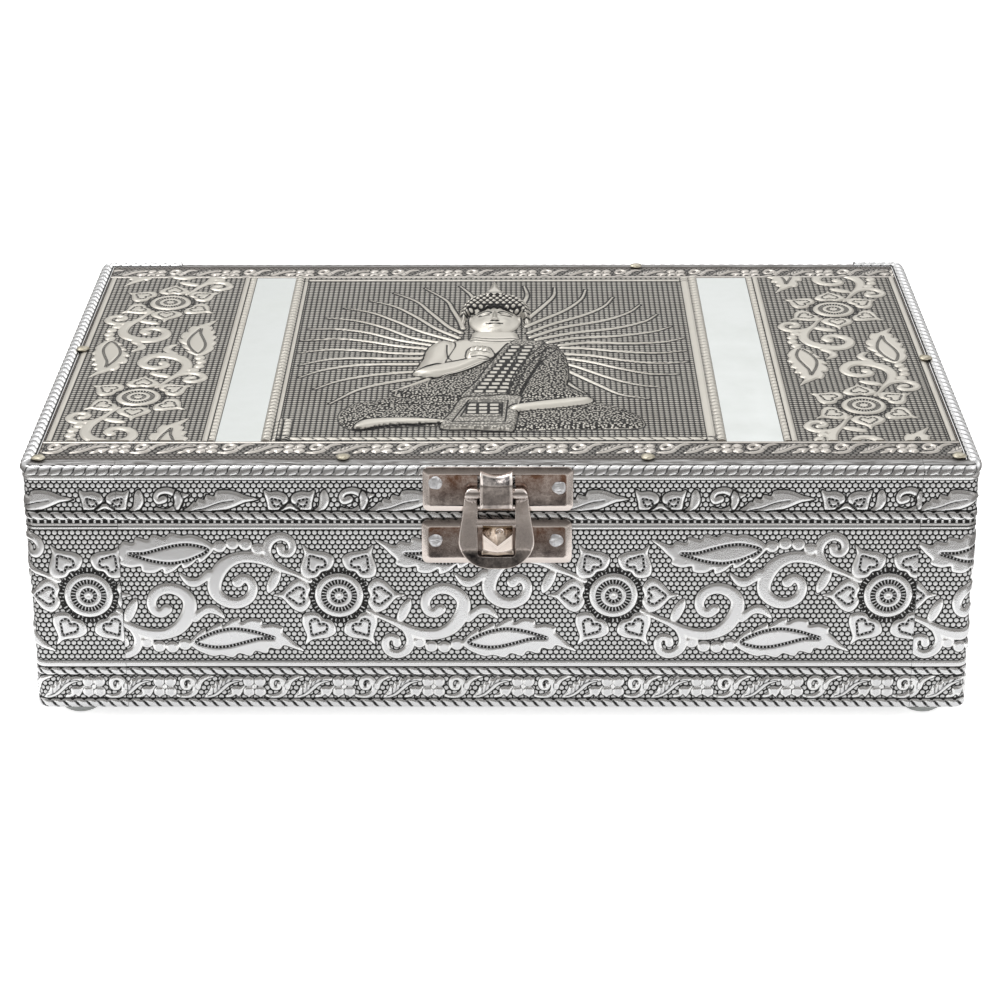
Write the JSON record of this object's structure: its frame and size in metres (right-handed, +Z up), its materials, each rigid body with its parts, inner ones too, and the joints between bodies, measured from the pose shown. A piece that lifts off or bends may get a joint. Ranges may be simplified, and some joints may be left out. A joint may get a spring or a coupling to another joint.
{
  "type": "tin jewelry box",
  "caption": "Wooden keepsake box clad in embossed white metal, with a hinged lid, a nickel-plated hasp latch in front and clear bumper feet.",
  "frame": {"origin": "centre of the footprint on the plane that the feet stand on", "axes": "+X to the right along the front, +Y towards the hinges at the back, +Z up; the latch faces -Y"},
  "size_m": [0.2508, 0.1706, 0.0777],
  "materials": {
    "pressed_sheet": "embossed white metal sheet with black oxide in its recesses and polished high spots",
    "wood": "plain sawn board",
    "velvet": "dark red velvet on card",
    "felt": "dark felt",
    "nickel_steel": "nickel-plated pressed steel",
    "hinge_steel": "nickel-plated steel",
    "aluminium_nail": "hammered nail head",
    "clear_bumper": "clear soft polyurethane"
  },
  "bodies": {
    "base": {"base_back_lining": "velvet", "base_back_sheet": "pressed_sheet", "base_back_wall": "wood", "base_floor_board": "wood", "base_front_lining": "velvet", "base_front_sheet": "pressed_sheet", "base_front_wall": "wood", "base_left_lining": "velvet", "base_left_sheet": "pressed_sheet", "base_left_wall": "wood", "base_right_lining": "velvet", "base_right_sheet": "pressed_sheet", "base_right_wall": "wood", "catch_hook": "nickel_steel", "catch_nail_left": "aluminium_nail", "catch_nail_right": "aluminium_nail", "catch_plate": "nickel_steel", "catch_rivet": "nickel_steel", "floor_lining": "velvet", "foot_back_left": "clear_bumper", "foot_back_right": "clear_bumper", "foot_front_left": "clear_bumper", "foot_front_right": "clear_bumper", "hinge_left_lower_leaf": "hinge_steel", "hinge_left_lower_nail_inner": "aluminium_nail", "hinge_left_lower_nail_outer": "aluminium_nail", "hinge_left_pin": "hinge_steel", "hinge_right_lower_leaf": "hinge_steel", "hinge_right_lower_nail_inner": "aluminium_nail", "hinge_right_lower_nail_outer": "aluminium_nail", "hinge_right_pin": "hinge_steel", "underside_cover": "felt"},
    "lid": {"hasp_mount_nail_left": "aluminium_nail", "hasp_mount_nail_right": "aluminium_nail", "hasp_mount_plate": "nickel_steel", "hinge_left_upper_leaf": "hinge_steel", "hinge_left_upper_nail_inner": "aluminium_nail", "hinge_left_upper_nail_outer": "aluminium_nail", "hinge_right_upper_leaf": "hinge_steel", "hinge_right_upper_nail_inner": "aluminium_nail", "hinge_right_upper_nail_outer": "aluminium_nail", "lid_back_lining": "velvet", "lid_back_rail": "wood", "lid_back_sheet": "pressed_sheet", "lid_board": "wood", "lid_front_lining": "velvet", "lid_front_rail": "wood", "lid_front_sheet": "pressed_sheet", "lid_left_lining": "velvet", "lid_left_rail": "wood", "lid_left_sheet": "pressed_sheet", "lid_lining": "velvet", "lid_right_lining": "velvet", "lid_right_rail": "wood", "lid_right_sheet": "pressed_sheet", "lid_top_sheet": "pressed_sheet"},
    "hasp": {"hasp_plate": "nickel_steel"}
  },
  "joints": [
    {"name": "lid_hinge", "type": "hinge", "parent": "base", "child": "lid", "pos_m": [0, 0.08135, 0.06255], "axis": [-1, 0, 0], "range_deg": [0, 105]},
    {"name": "hasp_swing", "type": "hinge", "parent": "lid", "child": "hasp", "pos_m": [-0.0011, -0.08225, 0.069], "axis": [-1, 0, 0], "range_deg": [0, 120]}
  ]
}
